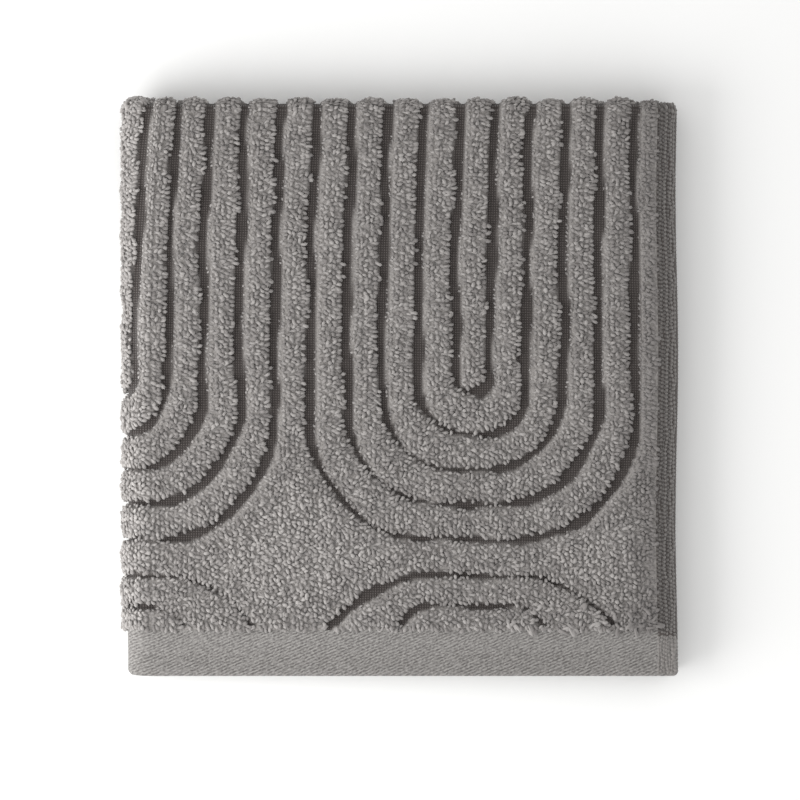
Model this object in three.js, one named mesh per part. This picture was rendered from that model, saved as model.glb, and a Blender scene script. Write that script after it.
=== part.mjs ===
// A terry washcloth folded in four, lying face up.
// Millimetres, +Z up. The first fold is at +Y and the second one at -X, so the loose edges are at +X and -Y.
// The origin is under the middle of the folded cloth, on the surface that it lies on.
//
// The cloth is one woven piece. Its face carries loop pile in raised ridges, parted by bare grooves that run
// as nested rounded rectangles. A bare hem runs along each side and a wider one along each end.
// It is laid out flat first, face up, as triangles in flat coordinates: x across the cloth, y along it, and
// z up from its back. Then every point is carried through the two folds.
import * as THREE from "three";
import { mergeVertices } from "three/addons/utils/BufferGeometryUtils.js";

// The flat cloth.
const CLOTH_WIDTH = 322;
const CLOTH_LENGTH = 331;
const SIDE_HEM = 5.8;
const FAR_SIDE_HEM = 3.6;
const END_HEM = 13.4;

// Thicknesses. The pile inside the folds is pressed lower than the pile outside.
const GROUND = 2;
const HEM_THICKNESS = 2.2;
const PILE = 2.4;
const INNER_PILE = 1.6;
const PLY_GAP = 0.5;

// The sculpted pattern. Its grooves lie one pitch apart, and a motif is ten pitches wide.
const PITCH = 10.4;
const MOTIF_WIDTH = 10 * PITCH;
const MIDDLE_MOTIF = -2.9;
const MOTIFS = [-1, 0, 1].map((place) => MIDDLE_MOTIF + place * MOTIF_WIDTH);

// The cross-section of a groove: how far each point lies outside the groove's centre line, and its share of
// the pile's height.
const GROOVE_SECTION = [
  { outside: -3.3, rise: 1 },
  { outside: -1.9, rise: 0.8 },
  { outside: -1.2, rise: 0 },
  { outside: 1.2, rise: 0 },
  { outside: 1.9, rise: 0.8 },
  { outside: 3.3, rise: 1 },
];

// The grooves of a motif that lies across the first fold, from the inside out. Each is a long rounded
// rectangle, and end is how far from the first fold it turns back.
const RINGS = [
  { halfWidth: 0.5 * PITCH, corner: 4.6, end: 83.7 },
  { halfWidth: 1.5 * PITCH, corner: 14.5, end: 95.3 },
  { halfWidth: 2.5 * PITCH, corner: 21.8, end: 105.7 },
  { halfWidth: 3.5 * PITCH, corner: 28.1, end: 115.7 },
  { halfWidth: 4.5 * PITCH, corner: 34.8, end: 125.7 },
];

// The next motif along the cloth. The end hem leaves only the rounded tops of two of its grooves.
const ARCHES = [
  { halfWidth: 4.5 * PITCH, corner: 34.8, top: 136.2 },
  { halfWidth: 21.7, corner: 10.7, top: 145 },
];

// How finely round shapes are cut.
const CORNER_STEPS = 6;
const FOLD_STEPS = 5;
const BEND_STEP = 2.8;

// The weave leans: near the first fold its lines run off from the second fold, most of all close to it.
const LEAN = 2.1;
const LEAN_BY_FOLD = 1.9;
const LEAN_LENGTH = 75;
const LEAN_WIDTH = 14;

// How far each layer sinks where the hems carry no pile, how far its loose edges stay back from the top
// layer's, and how much it waves.
const LAYERS = {
  top: { sink: 3.8, setBack: 0, wave: 0.35 },
  second: { sink: 4.1, setBack: 1.2, wave: 0.3 },
  third: { sink: 1.4, setBack: 1.4, wave: 0.1 },
  bottom: { sink: 1.6, setBack: 1, wave: 0 },
};
const SINK_LENGTH = 8;
const SET_BACK_LENGTH = 60;
const WAVE_LENGTH = 95;
const EDGE_BOW = 0.4;
const ROUNDED_CORNER = 0.5;

// Sizes of the folds. The ground weave of the outer ply keeps its length round each bend.
const firstInner = PLY_GAP / 2;
const firstRadius = firstInner + GROUND / 2;
const firstArc = (firstRadius * Math.PI) / 2;
const secondInner = firstInner + GROUND + INNER_PILE + PLY_GAP / 2;
const secondRadius = secondInner + firstRadius;
const secondArc = (secondRadius * Math.PI) / 2;
const outerRadius = firstInner + GROUND + PILE;
const halfHeight = secondInner + outerRadius;

// Places on the flat cloth. The pile drops to a hem in a steep wall.
const WALL = 0.5;
const halfWidth = CLOTH_WIDTH / 2;
const halfLength = CLOTH_LENGTH / 2;
const pileRight = halfWidth - SIDE_HEM;
const pileLeft = FAR_SIDE_HEM - halfWidth;
const pileEnd = halfLength - END_HEM;
const legEnd = RINGS[0].corner - RINGS[0].end;

// Rows along the cloth and columns across it, where its surface bends or its edge has points.
const LOWER_ROWS = [-138, -122, -100];
const LEG_ROWS = [legEnd, -52, -26, -8];
const INNER_ROWS = [9, 40, 80, 120];
const HEM_ROWS = [4, 8.5];
const PLAIN_COLUMNS = [-130, -104, -78, -52, -28, 28, 52, 78, 104, 130];
const foldRows = steps(-firstArc, firstArc, FOLD_STEPS);
const hemRows = [WALL, ...HEM_ROWS, END_HEM].map((beyond) => pileEnd + beyond);
const sideRows = [...LOWER_ROWS, ...LEG_ROWS, ...foldRows, ...INNER_ROWS, pileEnd];
const bendColumns = steps(-secondArc - BEND_STEP, secondArc + BEND_STEP, 8);
const plainColumns = [pileLeft, ...PLAIN_COLUMNS, ...bendColumns, pileRight].sort((a, b) => a - b);
const hemColumns = [-halfWidth, pileLeft - WALL, ...plainColumns, pileRight + WALL, halfWidth];

const smooth = (value, from, to) => THREE.MathUtils.smoothstep(value, from, to);
const mix = (from, to, share) => THREE.MathUtils.lerp(from, to, share);

// Values from one to another in equal steps, both included.
function steps(from, to, count) {
  return Array.from({ length: count + 1 }, (_, i) => from + ((to - from) * i) / count);
}

// The pile falls round the first fold to the height of the pressed pile inside, and its grooves close up.
function pileHeight(y, rise) {
  const height = mix(PILE, INNER_PILE, smooth(y, 0, firstArc));
  return height * mix(rise, 1, smooth(y, 0, INNER_ROWS[0]));
}

const pilePoint = (x, y, rise = 1) => new THREE.Vector3(x, y, GROUND + pileHeight(y, rise));
const hemPoint = (x, y) => new THREE.Vector3(x, y, HEM_THICKNESS);
const backPoint = (x, y) => new THREE.Vector3(x, y, 0);

// The corner points of all triangles of the flat cloth. Points closer than the merge distance are one.
const MERGE_DISTANCE = 0.001;
const corners = [];

function addTriangle(a, b, c) {
  const shortest = Math.min(a.distanceTo(b), b.distanceTo(c), c.distanceTo(a));
  if (shortest > MERGE_DISTANCE) corners.push(...a.toArray(), ...b.toArray(), ...c.toArray());
}

// Twice the area of a triangle seen from above, positive where its corners run anticlockwise.
const turnOf = (a, b, c) => (b.x - a.x) * (c.y - a.y) - (b.y - a.y) * (c.x - a.x);

// The strip between two lines of points that run the same way. It is filled one triangle after another, each
// time by the shorter diagonal of those that turn no triangle over.
function addStrip(line, other, looksUp = true) {
  const outline = [...other, ...line.toReversed()].map(({ x, y }) => new THREE.Vector2(x, y));
  const leftward = THREE.ShapeUtils.area(outline) > 0;
  const costOf = (a, b, next, from) => {
    if (!next) return Infinity;
    const turn = turnOf(a, b, next);
    const turnedOver = leftward ? turn < 0 : turn > 0;
    return next.distanceTo(from) + (turnedOver ? CLOTH_LENGTH : 0);
  };
  let i = 0;
  let j = 0;
  while (i < line.length - 1 || j < other.length - 1) {
    const a = line[i];
    const b = other[j];
    const onLine = costOf(a, b, line[i + 1], b) <= costOf(a, b, other[j + 1], a);
    const next = onLine ? line[i + 1] : other[j + 1];
    if (leftward === looksUp) addTriangle(a, b, next);
    else addTriangle(a, next, b);
    i += onLine ? 1 : 0;
    j += onLine ? 0 : 1;
  }
}

function addStrips(lines, looksUp = true) {
  lines.slice(1).forEach((line, i) => addStrip(lines[i], line, looksUp));
}

// The inside of a closed outline whose points run anticlockwise.
function addPatch(outline) {
  const flat = outline.map(({ x, y }) => new THREE.Vector2(x, y));
  for (const [a, b, c] of THREE.ShapeUtils.triangulateShape(flat, [])) {
    addTriangle(outline[a], outline[b], outline[c]);
  }
}

// Cuts a line finer where the second fold bends it.
function splitAtBend(points) {
  const split = [points[0]];
  for (const point of points.slice(1)) {
    const last = split.at(-1);
    const nearest = last.x * point.x < 0 ? 0 : Math.min(Math.abs(last.x), Math.abs(point.x));
    const pieces = nearest < secondArc ? Math.ceil(Math.abs(point.x - last.x) / BEND_STEP) : 1;
    for (const share of steps(0, 1, Math.max(pieces, 1)).slice(1)) {
      split.push(last.clone().lerp(point, share));
    }
  }
  return split;
}

function arcPoints(x, y, radius, from, to) {
  const arc = new THREE.EllipseCurve(x, y, radius, radius, from, to, to < from);
  return arc.getPoints(CORNER_STEPS);
}

// One line of a groove's section round the end of a motif, from its left leg to its right one.
function ringLine(centre, ring, outside, rise) {
  const radius = ring.corner + outside;
  const flat = ring.halfWidth - ring.corner;
  const y = ring.corner - ring.end;
  const down = (3 * Math.PI) / 2;
  const line = [
    ...arcPoints(centre - flat, y, radius, Math.PI, down),
    ...arcPoints(centre + flat, y, radius, down, 2 * Math.PI),
  ];
  if (y < legEnd) {
    line.unshift(new THREE.Vector2(centre - ring.halfWidth - outside, legEnd));
    line.push(new THREE.Vector2(centre + ring.halfWidth + outside, legEnd));
  }
  return splitAtBend(line.map((point) => pilePoint(point.x, point.y, rise)));
}

// One line of a groove's section over the top of an arch, from the end hem and back to it.
function archLine(centre, arch, outside, rise) {
  const radius = arch.corner + outside;
  const flat = arch.halfWidth - arch.corner;
  const y = -arch.top - arch.corner;
  const low = Math.asin((-pileEnd - y) / radius);
  const line = [
    ...arcPoints(centre - flat, y, radius, Math.PI - low, Math.PI / 2),
    ...arcPoints(centre + flat, y, radius, Math.PI / 2, low),
  ];
  return splitAtBend(line.map((point) => pilePoint(point.x, point.y, rise)));
}

// The second fold bends the ridge beside the middle motif's bar most, so its crown has one line more.
function sectionOf(centre, ring) {
  const bent = centre === MIDDLE_MOTIF && ring === RINGS[0];
  return bent ? [...GROOVE_SECTION, { outside: PITCH / 2, rise: 1 }] : GROOVE_SECTION;
}

// From the rounded ends to the first fold, every line of a motif runs straight. Each column is a place across
// the cloth and its share of the pile's height.
function legColumns(centre) {
  const legs = RINGS.flatMap((ring) =>
    sectionOf(centre, ring).map(({ outside, rise }) => ({ reach: ring.halfWidth + outside, rise })),
  );
  const left = legs.toReversed().map(({ reach, rise }) => ({ x: centre - reach, rise }));
  const middle = centre === MIDDLE_MOTIF ? [{ x: centre, rise: 1 }] : [];
  const right = legs.map(({ reach, rise }) => ({ x: centre + reach, rise }));
  return [...left, ...middle, ...right];
}

const columns = [{ x: pileLeft, rise: 1 }, ...MOTIFS.flatMap(legColumns), { x: pileRight, rise: 1 }];
const patternRow = (y) => columns.map(({ x, rise }) => pilePoint(x, y, rise));

// The pile's edge along a side, downwards from the end of the straight legs.
const pileSide = (x) => [legEnd, ...LOWER_ROWS.toReversed(), -pileEnd].map((y) => pilePoint(x, y));

// The face over the straight legs and round the first fold.
function addLegs() {
  addStrips([...LEG_ROWS, ...foldRows].map(patternRow));
}

// The rounded ends of a motif and the arches below it. It gives back the motif's outline on the left and on
// the right, downwards, and the points that it has on the edge of the end hem, from left to right.
function addMotifEnd(centre) {
  const rings = RINGS.flatMap((ring) =>
    sectionOf(centre, ring).map(({ outside, rise }) => ringLine(centre, ring, outside, rise)),
  );
  const arches = ARCHES.flatMap((arch) =>
    GROOVE_SECTION.toReversed().map(({ outside, rise }) => archLine(centre, arch, outside, rise)),
  );
  const inBar = (point) => Math.abs(point.x - centre) <= RINGS[0].halfWidth + GROOVE_SECTION[0].outside;
  const hemUnderArch = splitAtBend([arches.at(-1)[0], arches.at(-1).at(-1)]);
  addStrips([[rings[0][0], ...patternRow(legEnd).filter(inBar), rings[0].at(-1)], ...rings]);
  addStrips([...arches, hemUnderArch]);

  const outerRing = rings.at(-1);
  const outerArch = arches[0];
  const flat = RINGS.at(-1).halfWidth - RINGS.at(-1).corner + WALL / 10;
  const isLevel = (point) => Math.abs(point.x - centre) < flat;
  const left = (line) => line.slice(0, line.findIndex(isLevel) + 1);
  const right = (line) => line.slice(line.findLastIndex(isLevel));
  addStrip(outerRing.filter(isLevel), outerArch.filter(isLevel));
  return {
    left: [...left(outerRing), ...left(outerArch).toReversed()],
    right: [...right(outerRing).toReversed(), ...right(outerArch)],
    hemEdge: [
      ...arches.map((line) => line[0]),
      ...hemUnderArch.slice(1, -1),
      ...arches.map((line) => line.at(-1)).toReversed(),
    ],
  };
}

// The pattern's end, from the straight legs down to the end hem, and the hem itself.
function addPatternEnd() {
  const motifEnds = MOTIFS.map(addMotifEnd);
  const leftOutlines = [pileSide(pileLeft), ...motifEnds.map(({ right }) => right)];
  const rightOutlines = [...motifEnds.map(({ left }) => left), pileSide(pileRight)];
  leftOutlines.forEach((outline, i) => addPatch([...outline, ...rightOutlines[i].toReversed()]));

  const pileEdge = [
    pilePoint(pileLeft, -pileEnd),
    ...motifEnds.flatMap(({ hemEdge }) => hemEdge),
    pilePoint(pileRight, -pileEnd),
  ];
  const foot = pileEdge.map(({ x }) => hemPoint(x, -hemRows[0]));
  foot[0].x -= WALL;
  foot.at(-1).x += WALL;
  addStrip(pileEdge, foot);
  const topOfHem = [hemPoint(-halfWidth, -hemRows[0]), ...foot, hemPoint(halfWidth, -hemRows[0])];
  const rest = hemRows.slice(1).map((y) => hemColumns.map((x) => hemPoint(x, -y)));
  addStrips([topOfHem, ...rest]);
}

// A side hem beside the pattern, with the wall of the pile.
function addSideHem(pileX, hemX) {
  const footX = pileX + WALL * Math.sign(hemX);
  const rows = [...LOWER_ROWS, ...LEG_ROWS, ...foldRows];
  const hemLine = (x) => [-hemRows[0], ...rows].map((y) => hemPoint(x, y));
  addStrips([[-pileEnd, ...rows].map((y) => pilePoint(pileX, y)), hemLine(footX), hemLine(hemX)]);
}

// The plain face of the half that the first fold turns inwards.
function addInnerFace() {
  const left = (y) => [-halfWidth, pileLeft - WALL].map((x) => hemPoint(x, y));
  const right = (y) => [pileRight + WALL, halfWidth].map((x) => hemPoint(x, y));
  const lastFoldRow = [...left(firstArc), ...patternRow(firstArc), ...right(firstArc)];
  const plainRow = (y) => [...left(y), ...plainColumns.map((x) => pilePoint(x, y)), ...right(y)];
  const hemRow = (y) => hemColumns.map((x) => hemPoint(x, y));
  addStrips([lastFoldRow, ...[...INNER_ROWS, pileEnd].map(plainRow), ...hemRows.map(hemRow)]);
}

const edgeRows = [...hemRows.map((y) => -y).toReversed(), ...sideRows, ...hemRows];

function addBack() {
  const lines = edgeRows.map((y) => hemColumns.map((x) => backPoint(x, y)));
  addStrips(lines, false);
}

// The cut edge all round, anticlockwise, from the back up to the face.
function addRim() {
  const edge = [
    ...hemColumns.map((x) => [x, -halfLength]),
    ...edgeRows.slice(1).map((y) => [halfWidth, y]),
    ...hemColumns.toReversed().slice(1).map((x) => [x, halfLength]),
    ...edgeRows.toReversed().slice(1).map((y) => [-halfWidth, y]),
  ];
  edge.slice(1).forEach((to, i) => {
    const from = edge[i];
    addTriangle(backPoint(...from), backPoint(...to), hemPoint(...to));
    addTriangle(backPoint(...from), hemPoint(...to), hemPoint(...from));
  });
}

// The lean of the weave, across the cloth.
function leanOf(x, y) {
  const along = THREE.MathUtils.clamp(1 + y / LEAN_LENGTH, 0, 1) ** 2;
  const fading = 1 - smooth(y, 0, LEAN_LENGTH);
  const across = 1 - Math.abs(x / halfWidth) ** 3;
  const byFold = Math.exp(-((x / LEAN_WIDTH) ** 2));
  return along * fading * (LEAN * across + LEAN_BY_FOLD * byFold);
}

// How far past the pile's edge a place is, as a share of the length over which the hems sink.
function hemShare(x, y) {
  const beyondSide = x > 0 ? x - pileRight : pileLeft - x;
  const level = (beyond) => 1 - smooth(beyond, 0, SINK_LENGTH);
  return 1 - level(beyondSide) * level(Math.abs(y) - pileEnd);
}

// Carries a point of the flat cloth through both folds and lets it settle.
function fold(flat) {
  const atCorner = Math.abs(flat.x) === halfWidth && Math.abs(flat.y) === halfLength;
  const inset = atCorner ? ROUNDED_CORNER : 0;
  const flatX = flat.x - Math.sign(flat.x) * inset + leanOf(flat.x, flat.y);
  const flatY = flat.y - Math.sign(flat.y) * inset;

  const quarter = Math.PI / 2;
  const firstTurn = THREE.MathUtils.clamp(flatY / firstRadius, -quarter, quarter);
  const secondTurn = THREE.MathUtils.clamp(flatX / secondRadius, -quarter, quarter);
  const firstReach = firstInner + flat.z;
  const secondReach = secondInner - firstReach * Math.sin(firstTurn);
  const pastFirst = Math.max(Math.abs(flatY) - firstArc, 0);
  const pastSecond = Math.max(Math.abs(flatX) - secondArc, 0);

  const upper = (1 + Math.sin(secondTurn)) / 2;
  const outer = (1 - Math.sin(firstTurn)) / 2;
  const ofLayer = (key) =>
    upper * (outer * LAYERS.top[key] + (1 - outer) * LAYERS.second[key]) +
    (1 - upper) * (outer * LAYERS.bottom[key] + (1 - outer) * LAYERS.third[key]);

  const setBack = ofLayer("setBack");
  const nearSide = smooth(pastSecond, halfWidth - SET_BACK_LENGTH, halfWidth);
  const nearEnd = smooth(pastFirst, halfLength - SET_BACK_LENGTH, halfLength);
  const x = pastSecond - secondReach * Math.cos(secondTurn) - setBack * nearSide;
  const y = firstReach * Math.cos(firstTurn) - pastFirst + setBack * nearEnd;
  const waveAngle = (2 * Math.PI) / WAVE_LENGTH;
  const wave = Math.sin(x * waveAngle) * Math.cos(y * waveAngle);
  const bow = EDGE_BOW * nearSide * Math.sin(y * waveAngle);
  const sink = ofLayer("sink") * hemShare(flat.x, flat.y);
  const z = halfHeight + secondReach * Math.sin(secondTurn) - sink + ofLayer("wave") * wave;
  return new THREE.Vector3(x + bow, y, z);
}

addLegs();
addPatternEnd();
addSideHem(pileLeft, -halfWidth);
addSideHem(pileRight, halfWidth);
addInnerFace();
addBack();
addRim();

const soup = new THREE.BufferGeometry();
soup.setAttribute("position", new THREE.Float32BufferAttribute(corners, 3));
const geometry = mergeVertices(soup, MERGE_DISTANCE);
const positions = geometry.getAttribute("position");
for (let i = 0; i < positions.count; i += 1) {
  const folded = fold(new THREE.Vector3().fromBufferAttribute(positions, i));
  positions.setXYZ(i, folded.x, folded.y, folded.z);
}
geometry.computeBoundingBox();
const middle = geometry.boundingBox.getCenter(new THREE.Vector3());
geometry.translate(-middle.x, -middle.y, -geometry.boundingBox.min.z);
geometry.computeVertexNormals();

// Warm grey cotton terry.
const cotton = new THREE.MeshStandardMaterial({ color: 0x8b8784, roughness: 1, metalness: 0 });
const washcloth = new THREE.Mesh(geometry, cotton);
washcloth.name = "washcloth";

const folded = new THREE.Group();
folded.add(washcloth);

export default folded;
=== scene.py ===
# A cotton terry washcloth folded in four, lying face up.
#
# Everything is laid out on the flat cloth first, in millimetres: x across the cloth, y along it, and z up
# from its back. Then the fold carries every point to its place, in metres.
import math

import bpy
import numpy as np
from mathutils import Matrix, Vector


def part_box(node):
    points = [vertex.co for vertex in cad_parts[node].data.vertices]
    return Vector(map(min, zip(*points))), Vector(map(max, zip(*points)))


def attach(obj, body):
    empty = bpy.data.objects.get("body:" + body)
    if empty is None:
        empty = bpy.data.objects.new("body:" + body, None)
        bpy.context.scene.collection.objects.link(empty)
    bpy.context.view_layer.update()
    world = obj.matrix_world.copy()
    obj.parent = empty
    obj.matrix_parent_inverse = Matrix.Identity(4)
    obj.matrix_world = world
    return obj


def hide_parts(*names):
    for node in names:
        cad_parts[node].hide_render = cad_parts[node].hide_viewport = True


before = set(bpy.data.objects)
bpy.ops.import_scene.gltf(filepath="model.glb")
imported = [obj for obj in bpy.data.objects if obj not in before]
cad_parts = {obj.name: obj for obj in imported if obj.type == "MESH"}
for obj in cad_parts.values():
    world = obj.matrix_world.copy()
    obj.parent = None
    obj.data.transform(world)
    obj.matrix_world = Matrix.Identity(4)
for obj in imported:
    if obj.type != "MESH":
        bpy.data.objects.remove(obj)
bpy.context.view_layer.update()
bpy.ops.object.select_all(action="DESELECT")


# The weave
# One piece of cotton terry, woven on a jacquard loom. Loop pile stands in raised ridges, and bare ground
# weave shows in the grooves between them, which run as nested rounded rectangles.
CLOTH_WIDTH = 322
CLOTH_LENGTH = 331
SIDE_HEM = 5.8
FAR_SIDE_HEM = 3.6
END_HEM = 13.4
GROUND = 2
HEM_THICKNESS = 2.2
PILE = 2.4
INNER_PILE = 1.6

PITCH = 10.4
MIDDLE_MOTIF = -2.9
MOTIFS = [MIDDLE_MOTIF + place * 10 * PITCH for place in (-1, 0, 1)]

# Half the width, corner radius and end of each groove of a motif that lies across the first fold.
RINGS = [
    (0.5 * PITCH, 4.6, 83.7),
    (1.5 * PITCH, 14.5, 95.3),
    (2.5 * PITCH, 21.8, 105.7),
    (3.5 * PITCH, 28.1, 115.7),
    (4.5 * PITCH, 34.8, 125.7),
]
# Half the width, corner radius and top of the two grooves that show of the next motif along the cloth.
ARCHES = [(4.5 * PITCH, 34.8, 136.2), (21.7, 10.7, 145)]

HALF_WIDTH = CLOTH_WIDTH / 2
HALF_LENGTH = CLOTH_LENGTH / 2
PILE_RIGHT = HALF_WIDTH - SIDE_HEM
PILE_LEFT = FAR_SIDE_HEM - HALF_WIDTH
PILE_END = HALF_LENGTH - END_HEM


def smooth_step(value, start, end):
    share = np.clip((value - start) / (end - start), 0, 1)
    return share * share * (3 - 2 * share)


def unevenness(x, y, length, seed):
    """Smooth waves of one length in random directions, mostly between -1 and 1."""
    waves = 6
    total = np.zeros(np.shape(x))
    for direction, phase in np.random.default_rng(seed).uniform(0, 2 * math.pi, (waves, 2)):
        along = x * math.cos(direction) + y * math.sin(direction)
        total += np.sin(2 * math.pi * along / length + phase)
    return total / math.sqrt(waves)


def from_rounded(across, along, corner):
    """How far a place lies from a rounded rectangle, from how far it is past the corner's centre."""
    outside = np.hypot(np.maximum(across, 0), np.maximum(along, 0))
    return np.abs(outside + np.minimum(np.maximum(across, along), 0) - corner)


# The pile is brushed to the right and a little down. It closes over the grooves that run that way, and a
# little over all of them where the second fold bends them and at the border. By the second fold it also
# pushes the groove over to the right.
BRUSHED = np.array((0.88, -0.47))
CLOSING = 0.97
OPEN_ACROSS_BRUSH = (0.2, 0.85)
CLOSING_BY_FOLD = 0.32
CLOSING_OF_ARCHES = 0.12
CLOSING_AT_BORDER = 1.2
LAST_ROWS = 1.6
CLOSING_AT_RANDOM = 0.28
CLOSING_LENGTH = 16
PUSHED = 0.45
PUSHED_BY_FOLD = 1.8
GROOVE_BY_FOLD = 4.5
FOLD_WIDTH = 7
GROOVE_WANDER = 0.4
WANDER_LENGTH = 30
SLOPE_STEP = 0.2


def nearest_groove(x, y):
    """How far a place lies from the middle of the nearest groove."""
    nearest = np.full(np.shape(x), float(PITCH))
    for centre in MOTIFS:
        for half_width, corner, end in RINGS:
            across = np.abs(x - centre) - half_width + corner
            along = np.abs(y) - end + corner
            nearest = np.minimum(nearest, from_rounded(across, along, corner))
        for half_width, corner, top in ARCHES:
            across = np.abs(x - centre) - half_width + corner
            along = y + top + corner
            nearest = np.minimum(nearest, from_rounded(across, along, corner) + CLOSING_OF_ARCHES)
    return nearest


def groove_distance(x, y):
    """The same distance on the real cloth, and more of it where pile closes the groove."""
    by_fold = np.exp(-(((x - GROOVE_BY_FOLD) / FOLD_WIDTH) ** 2))
    at_random = CLOSING_AT_RANDOM * unevenness(x, y, CLOSING_LENGTH, seed=5)
    at_border = CLOSING_AT_BORDER * (1 - smooth_step(PILE_END + y, 0, LAST_ROWS))
    x = x - PUSHED - PUSHED_BY_FOLD * by_fold + GROOVE_WANDER * unevenness(x, y, WANDER_LENGTH, seed=3)
    y = y + GROOVE_WANDER * unevenness(x, y, WANDER_LENGTH, seed=4)
    nearest = nearest_groove(x, y)
    slope_x = nearest_groove(x + SLOPE_STEP, y) - nearest
    slope_y = nearest_groove(x, y + SLOPE_STEP) - nearest
    across_brush = np.abs(slope_x * BRUSHED[0] + slope_y * BRUSHED[1])
    across_brush = across_brush / np.maximum(np.hypot(slope_x, slope_y), 1e-6)
    closed = CLOSING * (1 - smooth_step(across_brush, *OPEN_ACROSS_BRUSH))
    return nearest + closed + CLOSING_BY_FOLD * by_fold + at_random + at_border


# The folds
# The first fold turns the far half of the cloth under, and the second one turns the left half under. The
# plies lie on each other, a little apart, and the bare hems sink where no pile holds them up.
PLY_GAP = 0.5
LEAN = 2.1
LEAN_BY_FOLD = 1.9
LEAN_LENGTH = 75
LEAN_WIDTH = 14
SINK = {"top": 3.8, "second": 4.1, "third": 1.4, "bottom": 1.6}
SET_BACK = {"top": 0, "second": 1.2, "third": 1.4, "bottom": 1}
WAVE = {"top": 0.35, "second": 0.3, "third": 0.1, "bottom": 0}
SINK_LENGTH = 8
SET_BACK_LENGTH = 60
WAVE_LENGTH = 95
EDGE_BOW = 0.4

FIRST_INNER = PLY_GAP / 2
FIRST_RADIUS = FIRST_INNER + GROUND / 2
FIRST_ARC = FIRST_RADIUS * math.pi / 2
SECOND_INNER = FIRST_INNER + GROUND + INNER_PILE + PLY_GAP / 2
SECOND_RADIUS = SECOND_INNER + FIRST_RADIUS
SECOND_ARC = SECOND_RADIUS * math.pi / 2
FIRST_OUTER = FIRST_INNER + GROUND + PILE
SECOND_OUTER = SECOND_INNER + FIRST_OUTER

MM = 0.001
box_low, box_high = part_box("washcloth")


def mix(start, end, share):
    return start + (end - start) * share


def lean_of(x, y):
    """Near the first fold the weave's lines run off from the second fold, most of all close to it."""
    along = np.clip(1 + y / LEAN_LENGTH, 0, 1) ** 2
    fading = 1 - smooth_step(y, 0, LEAN_LENGTH)
    across = 1 - np.abs(x / HALF_WIDTH) ** 3
    by_fold = np.exp(-((x / LEAN_WIDTH) ** 2))
    return along * fading * (LEAN * across + LEAN_BY_FOLD * by_fold)


def hem_share(x, y):
    """How far past the pile's edge a place is, as a share of the length over which the hems sink."""
    past_side = np.where(x > 0, x - PILE_RIGHT, PILE_LEFT - x)
    past_end = np.abs(y) - PILE_END
    level = 1 - smooth_step(past_side, 0, SINK_LENGTH)
    return 1 - level * (1 - smooth_step(past_end, 0, SINK_LENGTH))


def fold(points):
    """Carries points of the flat cloth through both folds, to metres in the frame."""
    x, y, z = np.moveaxis(points, -1, 0)
    flat_x = x + lean_of(x, y)
    quarter = math.pi / 2
    first_turn = np.clip(y / FIRST_RADIUS, -quarter, quarter)
    second_turn = np.clip(flat_x / SECOND_RADIUS, -quarter, quarter)
    first_reach = FIRST_INNER + z
    second_reach = SECOND_INNER - first_reach * np.sin(first_turn)
    past_first = np.maximum(np.abs(y) - FIRST_ARC, 0)
    past_second = np.maximum(np.abs(flat_x) - SECOND_ARC, 0)

    upper = (1 + np.sin(second_turn)) / 2
    outer = (1 - np.sin(first_turn)) / 2

    def of_ply(value):
        over = mix(value["second"], value["top"], outer)
        under = mix(value["third"], value["bottom"], outer)
        return mix(under, over, upper)

    near_side = smooth_step(past_second, HALF_WIDTH - SET_BACK_LENGTH, HALF_WIDTH)
    near_end = smooth_step(past_first, HALF_LENGTH - SET_BACK_LENGTH, HALF_LENGTH)
    folded_x = past_second - second_reach * np.cos(second_turn) - of_ply(SET_BACK) * near_side
    folded_y = first_reach * np.cos(first_turn) - past_first + of_ply(SET_BACK) * near_end
    angle = 2 * math.pi / WAVE_LENGTH
    wave = np.sin(folded_x * angle) * np.cos(folded_y * angle)
    bow = EDGE_BOW * near_side * np.sin(folded_y * angle)
    sink = of_ply(SINK) * hem_share(x, y)
    height = SECOND_OUTER + second_reach * np.sin(second_turn) - sink + of_ply(WAVE) * wave
    left = box_low.x + (folded_x + bow + SECOND_OUTER) * MM
    far = box_high.y + (folded_y - FIRST_OUTER) * MM
    return np.stack([left, far, height * MM], axis=-1)


# The sheet
# The ground weave with the dense body of the pile, as one closed sheet. The loops stand out of it where the
# pile shows, so there the body is lower, and inside the folds it has the whole height of the pressed pile.
BODY = 0.46
BODY_ROUND_FOLD = 0.62

# How far from a groove's middle its floor ends, its wall ends and the ridge is at its full height.
BODY_PLACES = (1.45, 2.0, 3.3)
BODY_RISES = (0, 0.8, 1)
GROOVES_CLOSED = 9
WALL = 0.5
LUMP_HEIGHT = 0.16
LUMP_LENGTH = 13
LUMP_TOP = 0.5
SHOULDER_WIDTH = 9
SHOULDER_DROP = 0.5
EDGE_ROUNDING = 1.4
EDGE_DROP = 0.9
CORNER = 1.5

# Round the second fold the sheet's body and its loops change over this span, to just past the arc's end.
FOLD_CHANGE = (SECOND_ARC - 3, SECOND_ARC + 1)


def pile_share(x, y):
    """1 where the cloth carries pile and 0 on its hems."""
    inside = np.minimum(np.minimum(PILE_RIGHT - x, x - PILE_LEFT), PILE_END - np.abs(y))
    return smooth_step(inside, -WALL, WALL)


def pile_height(x, y):
    """The pile falls round the first fold to the height of the pressed pile, and its grooves close up."""
    height = mix(PILE, INNER_PILE, smooth_step(y, 0, FIRST_ARC))
    rise = np.interp(groove_distance(x, y), BODY_PLACES, BODY_RISES)
    lumps = LUMP_HEIGHT * np.minimum(unevenness(x, y, LUMP_LENGTH, seed=8), LUMP_TOP)
    shoulder = SHOULDER_DROP * smooth_step(x, PILE_RIGHT - SHOULDER_WIDTH, PILE_RIGHT)
    rise = rise * (1 + lumps - shoulder)
    return height * mix(rise, 1, smooth_step(y, 0, GROOVES_CLOSED))


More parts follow.
